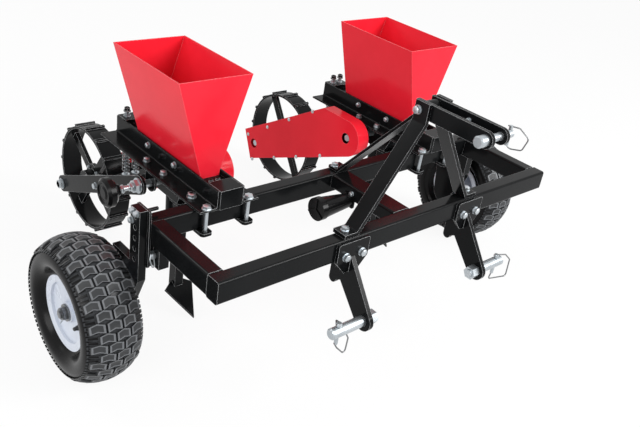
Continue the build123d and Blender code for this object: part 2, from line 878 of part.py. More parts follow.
    # Meter shaft through the hangers: pivot nut outside the arm, stud to the knob
    guard_end = guard_x0 + guard_t - guard_inset
    nut_x = bar_x + pivot_gap
    stud_x = nut_x + pivot_nut_h
    stud_end = knob_x - knob_skin
    with BuildPart() as meter_shaft:
        with BuildSketch(hub_plane(mid_x, shaft_y, shaft_z, side)):
            with BuildLine():
                Polyline(
                    (-guard_end, 0),
                    (-guard_end, shaft_r),
                    (nut_x, shaft_r),
                    (nut_x, pivot_nut_r),
                    (stud_x, pivot_nut_r),
                    (stud_x, stud_r),
                    (stud_end, stud_r),
                    (stud_end, 0),
                    close=True,
                )
            make_face()
        revolve(axis=Axis((0, fy(shaft_y), shaft_z), (1, 0, 0)))
    meter_shaft.part.label = f"meter_shaft_{tag}"
    export_step(meter_shaft.part, f"parts/meter_shaft_{tag}.step")

    # Knob on the stud: rounded disc with a ringed face and a neck behind
    disc_x = knob_x - knob_t
    with BuildPart() as knob:
        with BuildSketch(hub_plane(mid_x, shaft_y, shaft_z, side)):
            with BuildLine():
                Polyline(
                    (disc_x - knob_neck, stud_r),
                    (disc_x - knob_neck, knob_neck_r - knob_edge),
                    (disc_x, knob_neck_r),
                    (disc_x, knob_r - knob_edge),
                    (disc_x + knob_edge, knob_r),
                    (knob_x - knob_edge, knob_r),
                    (knob_x, knob_r - knob_edge),
                    (knob_x, knob_ring_r),
                    (knob_x - knob_ring_d, knob_ring_r - knob_ring_d),
                    (knob_x - knob_ring_d, knob_ring_r - knob_ring_w),
                    (knob_x, knob_boss_r),
                    (knob_x, 0),
                    (stud_end, 0),
                    (stud_end, stud_r),
                    close=True,
                )
            make_face()
        revolve(axis=Axis((0, fy(shaft_y), shaft_z), (1, 0, 0)))
    knob.part.label = f"knob_{tag}"
    export_step(knob.part, f"parts/knob_{tag}.step")

    # Chain guard: folded cover round the chain line, on two posts to the inner arm
    ang = atan2(shaft_z - drive_z, drive_y - shaft_y)
    rear_y = drive_y + guard_rear * cos(ang)
    rear_z = drive_z - guard_rear * sin(ang)
    guard_face = mid_x - side * guard_x0
    shells = ((0, guard_t, Mode.ADD), (guard_wall, guard_t - guard_wall, Mode.SUBTRACT))
    with BuildPart() as chain_guard:
        for inset, depth, mode in shells:
            with BuildSketch(plane_yz(guard_face)):
                with BuildLine():
                    Polyline(
                        (rear_y + guard_half * sin(ang), rear_z + guard_half * cos(ang)),
                        (shaft_y + guard_peak, shaft_z + guard_nose),
                        (shaft_y, shaft_z + guard_nose),
                        (shaft_y - guard_nose * sin(ang), shaft_z - guard_nose * cos(ang)),
                        (rear_y - guard_half * sin(ang), rear_z - guard_half * cos(ang)),
                        close=True,
                    )
                make_face()
                with Locations((shaft_y, shaft_z)):
                    Circle(guard_nose)
                if inset:
                    offset(amount=-inset)
            extrude(amount=-side * depth, mode=mode)
        for share in (0.25, 0.75):
            with BuildSketch(plane_yz(guard_face)):
                with Locations((shaft_y + share * drive_reach, shaft_z + share * (drive_z - shaft_z))):
                    Circle(guard_post_r)
            extrude(amount=-side * guard_t)
        with BuildSketch(plane_yz(guard_face)):
            with Locations(*pivots):
                Circle(guard_eye_r)
        extrude(amount=-side * 2 * guard_t, mode=Mode.SUBTRACT)
    chain_guard.part.label = f"chain_guard_{tag}"
    export_step(chain_guard.part, f"parts/chain_guard_{tag}.step")

    # Drive wheel: steel band with cross lugs, flat spokes, hub plate and hub
    wheel_plane = plane_yz(mid_x)
    with BuildPart() as drive_wheel:
        with BuildSketch(wheel_plane):
            with Locations((drive_y, drive_z)):
                Circle(drive_r)
                Circle(drive_r - drive_band, mode=Mode.SUBTRACT)
                with PolarLocations(drive_r + drive_lug / 2 - lug_root / 2, lugs, start_angle=90):
                    Rectangle(drive_lug + lug_root, lug_t)
        extrude(amount=drive_w / 2, both=True)
        with BuildSketch(wheel_plane):
            with Locations((drive_y, drive_z)):
                Circle(hub_plate_r)
                with PolarLocations(drive_r / 2, spokes, start_angle=spoke_turn):
                    Rectangle(drive_r - drive_band, spoke_w)
        extrude(amount=spoke_t / 2, both=True)
        with BuildSketch(wheel_plane):
            with Locations((drive_y, drive_z)):
                Circle(drive_hub_r)
        extrude(amount=drive_hub_w / 2, both=True)
        with BuildSketch(wheel_plane):
            with Locations((drive_y, drive_z)):
                Circle(shaft_r)
        extrude(amount=drive_hub_w, both=True, mode=Mode.SUBTRACT)
    drive_wheel.part.label = f"drive_wheel_{tag}"
    export_step(drive_wheel.part, f"parts/drive_wheel_{tag}.step")

    with BuildPart() as drive_axle:
        with BuildSketch(plane_yz(mid_x + side * (bar_x + axle_out))):
            with Locations((drive_y, drive_z)):
                Circle(shaft_r)
        extrude(amount=-side * (bar_x + axle_out + guard_end))
    drive_axle.part.label = f"drive_axle_{tag}"
    export_step(drive_axle.part, f"parts/drive_axle_{tag}.step")
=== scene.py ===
import math

import bmesh
import bpy
from mathutils import Matrix, Vector


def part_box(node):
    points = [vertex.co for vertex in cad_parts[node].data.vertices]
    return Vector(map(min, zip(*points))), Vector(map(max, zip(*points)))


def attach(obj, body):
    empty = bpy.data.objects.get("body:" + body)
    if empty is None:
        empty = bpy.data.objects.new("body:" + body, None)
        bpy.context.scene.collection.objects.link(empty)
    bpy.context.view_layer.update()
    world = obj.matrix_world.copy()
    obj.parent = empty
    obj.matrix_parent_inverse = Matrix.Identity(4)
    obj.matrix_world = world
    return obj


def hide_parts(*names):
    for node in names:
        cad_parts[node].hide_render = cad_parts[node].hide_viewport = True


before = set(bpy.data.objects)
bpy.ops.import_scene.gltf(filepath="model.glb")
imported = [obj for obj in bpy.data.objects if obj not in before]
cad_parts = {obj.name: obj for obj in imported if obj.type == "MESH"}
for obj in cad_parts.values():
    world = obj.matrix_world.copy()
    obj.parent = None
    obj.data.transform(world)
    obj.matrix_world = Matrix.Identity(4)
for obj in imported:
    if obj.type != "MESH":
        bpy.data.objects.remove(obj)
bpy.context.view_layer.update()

# Places are in mm: x across, depth back from the front tube, rise above the frame's top

front_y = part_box("front_tube")[0].y
frame_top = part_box("front_tube")[1].z
unit_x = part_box("hopper_right")[1].x * 500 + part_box("hopper_right")[0].x * 500
sides = (("left", -1), ("right", 1))
up = (0, 0, 1)
ahead = (0, -1, 0)
leftward = (-1, 0, 0)
rightward = (1, 0, 0)


def place(x, depth, rise):
    """Point of the machine in metres from its place in mm."""
    return Vector((x / 1000, front_y + depth / 1000, frame_top + rise / 1000))


def where(point):
    """Place in mm of a point in metres."""
    return Vector((point.x, point.y - front_y, point.z - frame_top)) * 1000


def middle(node):
    """Place in mm of the middle of a CAD node's box."""
    low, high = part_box(node)
    return where((low + high) / 2)


def outer_face(node, side):
    """X in mm of the outward face of a CAD node."""
    low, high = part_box(node)
    return (low.x if side < 0 else high.x) * 1000


def inner_face(node, side):
    """X in mm of the face of a CAD node towards the machine's middle."""
    return outer_face(node, -side)


# Shader groups that several finishes share


def new_group(name, inputs, outputs):
    """Shader node group with named sockets, with its first and last node."""
    group = bpy.data.node_groups.new(name, "ShaderNodeTree")
    for label, value in inputs:
        socket = group.interface.new_socket(label, in_out="INPUT", socket_type="NodeSocketFloat")
        socket.default_value = value
    for label in outputs:
        kind = "NodeSocketVector" if label == "Normal" else "NodeSocketFloat"
        group.interface.new_socket(label, in_out="OUTPUT", socket_type=kind)
    return group, group.nodes.new("NodeGroupInput"), group.nodes.new("NodeGroupOutput")


def shader_node(tree, kind, values=None, **settings):
    """Node of a shader tree with its settings and socket values."""
    node = tree.nodes.new(kind)
    for key, value in settings.items():
        setattr(node, key, value)
    for key, value in (values or {}).items():
        node.inputs[key].default_value = value
    return node


def scaled_noise(group, start, values):
    """Noise over the object at the scale that the group is given."""
    coords = group.nodes.new("ShaderNodeTexCoord")
    noise = shader_node(group, "ShaderNodeTexNoise", values)
    group.links.new(coords.outputs["Object"], noise.inputs["Vector"])
    group.links.new(start.outputs["Scale"], noise.inputs["Scale"])
    return noise.outputs["Fac"]


def ramp(tree, value, low, high):
    """Mask that goes from 0 to 1 while a value goes from low to high."""
    node = shader_node(tree, "ShaderNodeMapRange", {"From Min": low, "From Max": high})
    tree.links.new(value, node.inputs["Value"])
    return node.outputs["Result"]


def product(tree, first, second):
    """Product of two sockets."""
    node = shader_node(tree, "ShaderNodeMath", operation="MULTIPLY")
    tree.links.new(first, node.inputs[0])
    tree.links.new(second, node.inputs[1])
    return node.outputs[0]


def make_grain():
    """Fine even grain of a coat or moulded skin, as a height."""
    group, start, end = new_group("surface_grain", [("Scale", 600.0)], ["Height"])
    noise = scaled_noise(group, start, {"Detail": 3.0, "Roughness": 0.55})
    group.links.new(noise, end.inputs["Height"])
    return group


def make_patches():
    """Broad soft patches where a coat is a little thinner or has been handled."""
    group, start, end = new_group("handled_patches", [("Scale", 9.0)], ["Mask"])
    noise = scaled_noise(group, start, {"Detail": 4.0, "Roughness": 0.6})
    group.links.new(ramp(group, noise, 0.38, 0.68), end.inputs["Mask"])
    return group


def make_dust():
    """Thin dust that gathers on faces turned up, in soft patches."""
    inputs = [("Scale", 14.0), ("Amount", 0.2)]
    group, start, end = new_group("settled_dust", inputs, ["Mask"])
    patches = ramp(group, scaled_noise(group, start, {"Detail": 5.0}), 0.4, 0.75)
    surface = group.nodes.new("ShaderNodeNewGeometry")
    upward = group.nodes.new("ShaderNodeSeparateXYZ")
    group.links.new(surface.outputs["Normal"], upward.inputs[0])
    settled = product(group, patches, ramp(group, upward.outputs["Z"], 0.3, 1.0))
    group.links.new(product(group, settled, start.outputs["Amount"]), end.inputs["Mask"])
    return group


def make_edge_highlight():
    """Rounded edges of a rigid piece: a mask along them for a painted highlight, and their
    bevelled normal.
    """
    group, start, end = new_group("edge_highlight_rounding", [("Radius", 0.001)], ["Mask", "Normal"])
    links = group.links.new
    rounded = shader_node(group, "ShaderNodeBevel", samples=6)
    links(start.outputs["Radius"], rounded.inputs["Radius"])
    surface = group.nodes.new("ShaderNodeNewGeometry")
    facing = shader_node(group, "ShaderNodeVectorMath", operation="DOT_PRODUCT")
    links(rounded.outputs["Normal"], facing.inputs[0])
    links(surface.outputs["Normal"], facing.inputs[1])
    links(ramp(group, facing.outputs["Value"], 0.985, 0.82), end.inputs["Mask"])
    links(rounded.outputs["Normal"], end.inputs["Normal"])
    return group


grain_group = make_grain()
patch_group = make_patches()
dust_group = make_dust()
edge_highlight_group = make_edge_highlight()
dust_colour = (0.35, 0.33, 0.30)
bump_strength = 0.6


def mix_colour(tree, mask, under, over):
    """Colour that goes from one to the other by a mask; each is a colour or a socket."""
    node = shader_node(tree, "ShaderNodeMix", data_type="RGBA")
    for index, colour in ((6, under), (7, over)):
        if isinstance(colour, tuple):
            node.inputs[index].default_value = (*colour, 1)
        else:
            tree.links.new(colour, node.inputs[index])
    tree.links.new(mask, node.inputs[0])
    return node.outputs[2]


def finish_material(name, colour, tint, roughness, grain, dust, fixed=None, worn=None, edges=None):
    """Finish with grain and patches in its colour, roughness and bump, and a little dust.

    roughness is (least, most), grain (scale, bump height in mm), dust (scale, amount);
    fixed holds plain values of the shader's own sockets; worn is the colour of faces
    that carry the attribute raised; edges is (radius in mm, painted highlight colour)
    of rounded edges.
    """
    material = bpy.data.materials.new(name)
    material.use_nodes = True
    tree = material.node_tree
    links = tree.links.new
    shader = tree.nodes["Principled BSDF"]
    for key, value in (fixed or {}).items():
        shader.inputs[key].default_value = value
    grains = shader_node(tree, "ShaderNodeGroup", {"Scale": grain[0]}, node_tree=grain_group)
    patches = shader_node(tree, "ShaderNodeGroup", node_tree=patch_group)
    values = {"Scale": dust[0], "Amount": dust[1]}
    dusty = shader_node(tree, "ShaderNodeGroup", values, node_tree=dust_group)
    base = mix_colour(tree, patches.outputs["Mask"], colour, tint)
    if worn:
        raised = shader_node(tree, "ShaderNodeAttribute", attribute_name="raised")
        base = mix_colour(tree, raised.outputs["Fac"], base, worn)
    # Painted highlight: rounded edges are lightened to the edges colour, and take the bevelled
    # normal
    if edges:
        values = {"Radius": edges[0] / 1000}
        rounded = shader_node(tree, "ShaderNodeGroup", values, node_tree=edge_highlight_group)
        base = mix_colour(tree, rounded.outputs["Mask"], base, edges[1])
    covered = mix_colour(tree, dusty.outputs["Mask"], base, dust_colour)
    links(covered, shader.inputs["Base Color"])
    values = {"To Min": roughness[0], "To Max": roughness[1]}
    rough = shader_node(tree, "ShaderNodeMapRange", values)
    links(patches.outputs["Mask"], rough.inputs["Value"])
    links(rough.outputs["Result"], shader.inputs["Roughness"])
    values = {"Strength": bump_strength, "Distance": grain[1] / 1000}
    bump = shader_node(tree, "ShaderNodeBump", values)
    links(grains.outputs["Height"], bump.inputs["Height"])
    if edges:
        links(rounded.outputs["Normal"], bump.inputs["Normal"])
    links(bump.outputs["Normal"], shader.inputs["Normal"])
    return material


black_coat = finish_material(
    "black_powder_coat",
    (0.0046, 0.0050, 0.0054),
    (0.0062, 0.0067, 0.0072),
    (0.14, 0.22),
    (300.0, 0.02),
    (16.0, 0.008),
    {"Specular IOR Level": 0.085},
    # Painted highlight along the rounded edges
    edges=(1.6, (0.50, 0.51, 0.52)),
)
red_coat = finish_material(
    "red_gloss_paint",
    (0.76, 0.017, 0.033),
    (0.80, 0.021, 0.039),
    (0.14, 0.22),
    (220.0, 0.02),
    (12.0, 0.012),
    {"Specular IOR Level": 0.09, "Coat Weight": 0.015, "Coat Roughness": 0.06},
    # Painted highlight along the rounded edges
    edges=(1.4, (0.86, 0.22, 0.25)),
)
rim_coat = finish_material(
    "pale_rim_paint",
    (0.56, 0.60, 0.68),
    (0.62, 0.66, 0.73),
    (0.26, 0.38),
    (300.0, 0.03),
    (14.0, 0.03),
)
zinc_plate = finish_material(
    "bright_zinc_plate",
    (0.40, 0.435, 0.46),
    (0.54, 0.575, 0.60),
    (0.28, 0.42),
    (900.0, 0.03),
    (40.0, 0.03),
    {"Metallic": 0.85},
)
spring_steel = finish_material(
    "oiled_spring_steel",
    (0.16, 0.165, 0.17),
    (0.26, 0.265, 0.27),
    (0.25, 0.4),
    (900.0, 0.03),
    (40.0, 0.03),
    {"Metallic": 1.0},
)
side_rubber = finish_material(
    "sidewall_rubber",
    (0.0042, 0.0042, 0.0045),
    (0.0070, 0.0070, 0.0074),
    (0.18, 0.30),
    (500.0, 0.04),
    (20.0, 0.012),
    {"Specular IOR Level": 0.12},
    worn=(0.034, 0.036, 0.039),
)
tread_rubber = finish_material(
    "tread_rubber",
    (0.021, 0.0225, 0.0245),
    (0.029, 0.031, 0.0335),
    (0.42, 0.58),
    (500.0, 0.05),
    (24.0, 0.04),
    {"Specular IOR Level": 0.35},
    worn=(0.125, 0.131, 0.14),
)
black_plastic = finish_material(
    "black_moulded_plastic",
    (0.004, 0.004, 0.0043),
    (0.006, 0.006, 0.0064),
    (0.14, 0.24),
    (600.0, 0.04),
    (18.0, 0.008),
    {"Specular IOR Level": 0.12},
)
valve_rubber = finish_material(
    "valve_rubber",
    (0.012, 0.012, 0.0125),
    (0.018, 0.018, 0.0185),
    (0.4, 0.55),
    (700.0, 0.05),
    (30.0, 0.03),
)

slot_material = {
    "black_paint": black_coat,
    "red_paint": red_coat,
    "rim_paint": rim_coat,
    "zinc": zinc_plate,
    "tyre": side_rubber,
    "black_plastic": black_plastic,
}
slot_starts = (
    ("red_paint", ("hopper", "chain_guard")),
    ("rim_paint", ("gauge_rim",)),
    ("tyre", ("tyre",)),
    ("black_plastic", ("knob", "canister")),
    ("zinc", ("lower_pin", "top_link_pin", "drive_axle", "meter_shaft", "spring_rods")),
)


def node_slot(node):
    """Finish slot of a CAD node by how its name starts."""
    for slot, starts in slot_starts:
        if node.startswith(starts):
            return slot
    return "black_paint"


for node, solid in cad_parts.items():
    solid.data.materials.clear()
    solid.data.materials.append(slot_material[node_slot(node)])


# Tools that make the meshes


def new_piece(name, mesh, body, material=None, sharp=40):
    """Finished piece of the machine riding on one body."""
    if material:
        mesh.materials.clear()
        mesh.materials.append(material)
    mesh.shade_smooth()
    mesh.set_sharp_from_angle(angle=math.radians(sharp))
    mesh.name = name
    piece = bpy.data.objects.new(name, mesh)
    bpy.context.scene.collection.objects.link(piece)
    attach(piece, body)
    return piece


socket_kinds = {
    "Material": "NodeSocketMaterial",
    "Centre": "NodeSocketVector",
    "Rows": "NodeSocketInt",
    "Columns": "NodeSocketInt",
}


def new_tree(name, inputs):
    """Geometry Nodes tree with named inputs and one geometry in and out."""
    tree = bpy.data.node_groups.new(name, "GeometryNodeTree")
    face = tree.interface
    face.new_socket("Geometry", in_out="INPUT", socket_type="NodeSocketGeometry")
    for label in inputs:
        kind = socket_kinds.get(label, "NodeSocketFloat")
        face.new_socket(label, in_out="INPUT", socket_type=kind)
    face.new_socket("Geometry", in_out="OUTPUT", socket_type="NodeSocketGeometry")
    return tree, tree.nodes.new("NodeGroupInput"), tree.nodes.new("NodeGroupOutput")


def geo(tree, kind, links=None, values=None, **settings):
    """Geometry node with its settings, linked sockets and plain values."""
    node = tree.nodes.new(kind)
    for key, value in settings.items():
        setattr(node, key, value)
    for key, value in (values or {}).items():
        node.inputs[key].default_value = value
    for key, source in (links or {}).items():
        tree.links.new(source, node.inputs[key])
    return node


def calc(tree, operation, first, second=None):
    """Output of one arithmetic step between sockets or numbers."""
    node = geo(tree, "ShaderNodeMath", operation=operation)
    for index, term in enumerate((first, second)):
        if isinstance(term, (int, float)):
            node.inputs[index].default_value = term
        elif term is not None:
            tree.links.new(term, node.inputs[index])
    return node.outputs[0]


def named(tree, name):
    """Vector that a base mesh carries on its points under a name."""
    kind = "GeometryNodeInputNamedAttribute"
    return geo(tree, kind, values={"Name": name}, data_type="FLOAT_VECTOR").outputs[0]


def lifted(tree, geometry, height):
    """Geometry moved up by a number or a socket."""
    shift = geo(tree, "ShaderNodeCombineXYZ")
    if isinstance(height, (int, float)):
        shift.inputs["Z"].default_value = height
    else:
        tree.links.new(height, shift.inputs["Z"])
    links = {"Geometry": geometry, "Translation": shift.outputs[0]}
    return geo(tree, "GeometryNodeTransform", links).outputs[0]


def joined(tree, *parts):
    """Parts as one geometry."""
    node = geo(tree, "GeometryNodeJoinGeometry")
    for part in parts:
        tree.links.new(part, node.inputs[0])
    return node.outputs[0]


def swept_wire(tree, start, path, steps):
    """Round wire along a curve, at the radius that the tree is given, with closed ends."""
    links = {"Radius": start.outputs["Wire radius"]}
    ring = geo(tree, "GeometryNodeCurvePrimitiveCircle", links, {"Resolution": steps})
    links = {"Curve": path, "Profile Curve": ring.outputs[0]}
    return geo(tree, "GeometryNodeCurveToMesh", links, {"Fill Caps": True}).outputs[0]


def finish_tree(tree, geometry, start, end):
    """Close a tree with Realize Instances and Set Material."""
    real = geo(tree, "GeometryNodeRealizeInstances", {"Geometry": geometry})
    links = {"Geometry": real.outputs[0], "Material": start.outputs["Material"]}
    painted = geo(tree, "GeometryNodeSetMaterial", links)
    tree.links.new(painted.outputs[0], end.inputs[0])


def on_points(tree, start, end, instance):
    """Stand an instance on each base point along its axis, at its size, and close the tree."""
    links = {"Vector": named(tree, "axis")}
    turned = geo(tree, "FunctionNodeAlignRotationToVector", links, axis="Z")
    links = {
        "Points": start.outputs["Geometry"],
        "Instance": instance,
        "Rotation": turned.outputs[0],
        "Scale": named(tree, "size"),
    }
    placed = geo(tree, "GeometryNodeInstanceOnPoints", links)
    finish_tree(tree, placed.outputs[0], start, end)


def run_tree(tree, mesh, values):
    """Plain mesh that a tree makes from a base mesh and its input values."""
    base = bpy.data.objects.new(tree.name + "_base", mesh)
    bpy.context.scene.collection.objects.link(base)
    modifier = base.modifiers.new("nodes", "NODES")
    modifier.node_group = tree
    for item in tree.interface.items_tree:
        if item.in_out == "INPUT" and item.name in values:
            modifier[item.identifier] = values[item.name]
    graph = bpy.context.evaluated_depsgraph_get()
    made = bpy.data.meshes.new_from_object(base.evaluated_get(graph), depsgraph=graph)
    base.modifiers.clear()
    bpy.data.objects.remove(base)
    return made


def point_mesh(name, points, edges=()):
    """Base mesh of bare points, joined by edges where it is a path."""
    mesh = bpy.data.meshes.new(name)
    mesh.from_pydata([tuple(point) for point in points], list(edges), [])
    return mesh


def add_vectors(mesh, name, values):
    """Named vector on each point of a base mesh."""
    layer = mesh.attributes.new(name, "FLOAT_VECTOR", "POINT")
    for index, value in enumerate(values):
        layer.data[index].vector = value


def make_bolt_tree():
    """Hexagon heads with a domed top and a washer; one across the flats, one high."""
    inputs = ("Material", "Washer radius", "Washer thickness")
    tree, start, end = new_tree("hexagon_bolts", inputs)
    flat_h = 0.86
    dome_h = 0.14
    corner_r = 0.577
    thick = start.outputs["Washer thickness"]
    links = {"Radius": start.outputs["Washer radius"], "Depth": thick}
    washer = geo(tree, "GeometryNodeMeshCylinder", links, {"Vertices": 22})
    values = {"Vertices": 6, "Radius": corner_r, "Depth": flat_h}
    head = geo(tree, "GeometryNodeMeshCylinder", values=values)
    values = {"Vertices": 22, "Radius Top": 0.38, "Radius Bottom": 0.5, "Depth": dome_h}
    dome = geo(tree, "GeometryNodeMeshCone", values=values)
    bolt = joined(
        tree,
        lifted(tree, washer.outputs["Mesh"], calc(tree, "MULTIPLY", thick, 0.5)),
        lifted(tree, head.outputs["Mesh"], flat_h / 2),
        lifted(tree, dome.outputs["Mesh"], flat_h),
    )
    on_points(tree, start, end, bolt)
    return tree


def make_screw_tree():
    """Low domed screw heads, one across."""
    tree, start, end = new_tree("domed_screws", ("Material",))
    values = {"Segments": 16, "Rings": 8, "Radius": 0.5}
    ball = geo(tree, "GeometryNodeMeshUVSphere", values=values)
    on_points(tree, start, end, ball.outputs["Mesh"])
    return tree


def make_rod_tree():
    """Plain round rods with a chamfered end, one across and one long."""
    tree, start, end = new_tree("round_rods", ("Material",))
    plain_h = 0.97
    tip_h = 0.03
    values = {"Vertices": 20, "Radius": 0.5, "Depth": plain_h}
    rod = geo(tree, "GeometryNodeMeshCylinder", values=values)
    values = {"Vertices": 20, "Radius Top": 0.4, "Radius Bottom": 0.5, "Depth": tip_h}
    tip = geo(tree, "GeometryNodeMeshCone", values=values)
    body = lifted(tree, rod.outputs["Mesh"], plain_h / 2)
    on_points(tree, start, end, joined(tree, body, lifted(tree, tip.outputs["Mesh"], plain_h)))
    return tree


def make_wire_tree():
    """Round wire bent along a path of points, with its corners eased."""
    tree, start, end = new_tree("bent_wire", ("Material", "Wire radius", "Bend radius"))
    path = geo(tree, "GeometryNodeMeshToCurve", {"Mesh": start.outputs["Geometry"]})
    links = {"Curve": path.outputs[0], "Radius": start.outputs["Bend radius"]}
    eased = geo(tree, "GeometryNodeFilletCurve", links, {"Count": 5}, mode="POLY")
    finish_tree(tree, swept_wire(tree, start, eased.outputs[0], 9), start, end)
    return tree


def make_spring_tree():
    """Coil springs that stand on the base points."""
    inputs = ("Material", "Coil radius", "Wire radius", "Length", "Turns")
    tree, start, end = new_tree("coil_springs", inputs)
    links = {
        "Rotations": start.outputs["Turns"],
        "Start Radius": start.outputs["Coil radius"],
        "End Radius": start.outputs["Coil radius"],
        "Height": start.outputs["Length"],
    }
    coil = geo(tree, "GeometryNodeCurveSpiral", links, {"Resolution": 18})
    on_points(tree, start, end, swept_wire(tree, start, coil.outputs[0], 7))
    return tree


top_share = 0.94
field_share = 0.74
field_sink = 0.2


def make_block(tree, start):
    """One tread block: bent in the middle, raised, with a sunk field inside its rim."""
    width = start.outputs["Block width"]
    height = start.outputs["Block height"]
    links = {"Size X": width, "Size Y": start.outputs["Block length"]}
    sheet = geo(tree, "GeometryNodeMeshGrid", links, {"Vertices X": 3, "Vertices Y": 2})
    here = geo(tree, "GeometryNodeInputPosition")
    split = geo(tree, "ShaderNodeSeparateXYZ", {0: here.outputs[0]})
    aside = calc(tree, "DIVIDE", calc(tree, "ABSOLUTE", split.outputs["X"]), width)
    swept = calc(tree, "MULTIPLY", aside, start.outputs["Bend"])
    shift = geo(tree, "ShaderNodeCombineXYZ", {"Y": calc(tree, "MULTIPLY", swept, -2.0)})
    links = {"Geometry": sheet.outputs["Mesh"], "Offset": shift.outputs[0]}
    bent = geo(tree, "GeometryNodeSetPosition", links)
    rise = geo(tree, "ShaderNodeCombineXYZ", {"Z": height})
    links = {"Mesh": bent.outputs[0], "Offset": rise.outputs[0]}
    values = {"Individual": False}
    raised = geo(tree, "GeometryNodeExtrudeMesh", links, values, mode="FACES")
    links = {"Geometry": raised.outputs["Mesh"], "Selection": raised.outputs["Top"]}
    eased = geo(tree, "GeometryNodeScaleElements", links, {"Scale": top_share})
    links = {"Mesh": eased.outputs[0], "Selection": raised.outputs["Top"]}
    values = {"Offset Scale": 0.0, "Individual": False}
    rim = geo(tree, "GeometryNodeExtrudeMesh", links, values, mode="FACES")
    links = {"Geometry": rim.outputs["Mesh"], "Selection": rim.outputs["Top"]}
    inset = geo(tree, "GeometryNodeScaleElements", links, {"Scale": field_share})
    store = "GeometryNodeStoreNamedAttribute"
    links = {"Geometry": inset.outputs[0], "Value": rim.outputs["Side"]}
    marked = geo(tree, store, links, {"Name": "raised"}, data_type="FLOAT", domain="FACE")
    sink = geo(tree, "ShaderNodeCombineXYZ", {"Z": calc(tree, "MULTIPLY", height, -field_sink)})
    links = {
        "Geometry": marked.outputs[0],
        "Selection": rim.outputs["Top"],
        "Offset": sink.outputs[0],
    }
    sunk = geo(tree, "GeometryNodeSetPosition", links)
    there = geo(tree, "GeometryNodeInputPosition")
    level = geo(tree, "ShaderNodeSeparateXYZ", {0: there.outputs[0]})
    links = {"Geometry": sunk.outputs[0], "Value": level.outputs["Z"]}
    return geo(tree, store, links, {"Name": "lift"}).outputs[0]


def wrap_on_crown(tree, start, blocks):
    """Lay realized blocks on the tyre's round crown, each point at its own height."""
    here = geo(tree, "GeometryNodeInputPosition")
    split = geo(tree, "ShaderNodeSeparateXYZ", {0: here.outputs[0]})
    across, back, high = split.outputs
    crown = start.outputs["Crown radius"]
    span = calc(tree, "MULTIPLY", back, back)
    reach = calc(tree, "SQRT", calc(tree, "ADD", span, calc(tree, "MULTIPLY", high, high)))
    chord = calc(tree, "MULTIPLY", crown, crown)
    chord = calc(tree, "SUBTRACT", chord, calc(tree, "MULTIPLY", across, across))
    dip = calc(tree, "SUBTRACT", crown, calc(tree, "SQRT", chord))
    base = calc(tree, "SUBTRACT", start.outputs["Tread radius"], start.outputs["Block height"])
    kind = "GeometryNodeInputNamedAttribute"
    lift = geo(tree, kind, values={"Name": "lift"}, data_type="FLOAT")
    wanted = calc(tree, "ADD", calc(tree, "SUBTRACT", base, dip), lift.outputs[0])
    share = calc(tree, "DIVIDE", wanted, reach)
    links = {
        "X": across,
        "Y": calc(tree, "MULTIPLY", back, share),
        "Z": calc(tree, "MULTIPLY", high, share),
    }
    spot = geo(tree, "ShaderNodeCombineXYZ", links)
    links = {"Geometry": blocks, "Position": spot.outputs[0]}
    return geo(tree, "GeometryNodeSetPosition", links).outputs[0]


def make_tread_tree():
    """Rows of bent tread blocks round a tyre, every second row set over."""
    inputs = (
        "Material",
        "Rows",
        "Columns",
        "Pitch across",
        "Stagger",
        "Block width",
        "Block length",
        "Block height",
        "Bend",
        "Tread radius",
        "Crown radius",
        "Centre",
    )
    tree, start, end = new_tree("tread_blocks", inputs)
    rows = start.outputs["Rows"]
    columns = start.outputs["Columns"]
    points = geo(tree, "GeometryNodePoints", {"Count": calc(tree, "MULTIPLY", rows, columns)})
    index = geo(tree, "GeometryNodeInputIndex").outputs[0]
    row = calc(tree, "FLOOR", calc(tree, "DIVIDE", index, columns))
    column = calc(tree, "MODULO", index, columns)
    half = calc(tree, "MULTIPLY", calc(tree, "SUBTRACT", columns, 1.0), 0.5)
    sway = calc(tree, "SUBTRACT", calc(tree, "MODULO", row, 2.0), 0.5)
    step = calc(tree, "MULTIPLY", sway, start.outputs["Stagger"])
    columns_over = calc(tree, "ADD", calc(tree, "SUBTRACT", column, half), step)
    across = calc(tree, "MULTIPLY", columns_over, start.outputs["Pitch across"])
    turn = calc(tree, "MULTIPLY", calc(tree, "DIVIDE", row, rows), 2 * math.pi)
    radius = start.outputs["Tread radius"]
    forward = calc(tree, "MULTIPLY", calc(tree, "SINE", turn), radius)
    links = {
        "X": across,
        "Y": calc(tree, "MULTIPLY", forward, -1.0),
        "Z": calc(tree, "MULTIPLY", calc(tree, "COSINE", turn), radius),
    }
    spot = geo(tree, "ShaderNodeCombineXYZ", links)
    links = {"Geometry": points.outputs[0], "Position": spot.outputs[0]}
    spread = geo(tree, "GeometryNodeSetPosition", links)
    tilt = geo(tree, "ShaderNodeCombineXYZ", {"X": turn})
    facing = geo(tree, "FunctionNodeEulerToRotation", {0: tilt.outputs[0]})
    links = {
        "Points": spread.outputs[0],
        "Instance": make_block(tree, start),
        "Rotation": facing.outputs[0],
    }
    placed = geo(tree, "GeometryNodeInstanceOnPoints", links)
    real = geo(tree, "GeometryNodeRealizeInstances", {"Geometry": placed.outputs[0]})
    wrapped = wrap_on_crown(tree, start, real.outputs[0])
    links = {"Geometry": wrapped, "Translation": start.outputs["Centre"]}
    moved = geo(tree, "GeometryNodeTransform", links)
    finish_tree(tree, moved.outputs[0], start, end)
    return tree


bolt_tree = make_bolt_tree()
screw_tree = make_screw_tree()
rod_tree = make_rod_tree()
wire_tree = make_wire_tree()
spring_tree = make_spring_tree()
tread_tree = make_tread_tree()


def fasteners(name, tree, rows, body, material=zinc_plate, slot="zinc", **values):
    """Repeated piece from rows of place, axis, width across and height in mm."""
    base = point_mesh(name, [place(*spot) for spot, axis, wide, tall in rows])
    add_vectors(base, "axis", [axis for spot, axis, wide, tall in rows])
    sizes = [(wide / 1000, wide / 1000, tall / 1000) for spot, axis, wide, tall in rows]
    add_vectors(base, "size", sizes)
    return new_piece(name, run_tree(tree, base, {"Material": material, **values}), body)


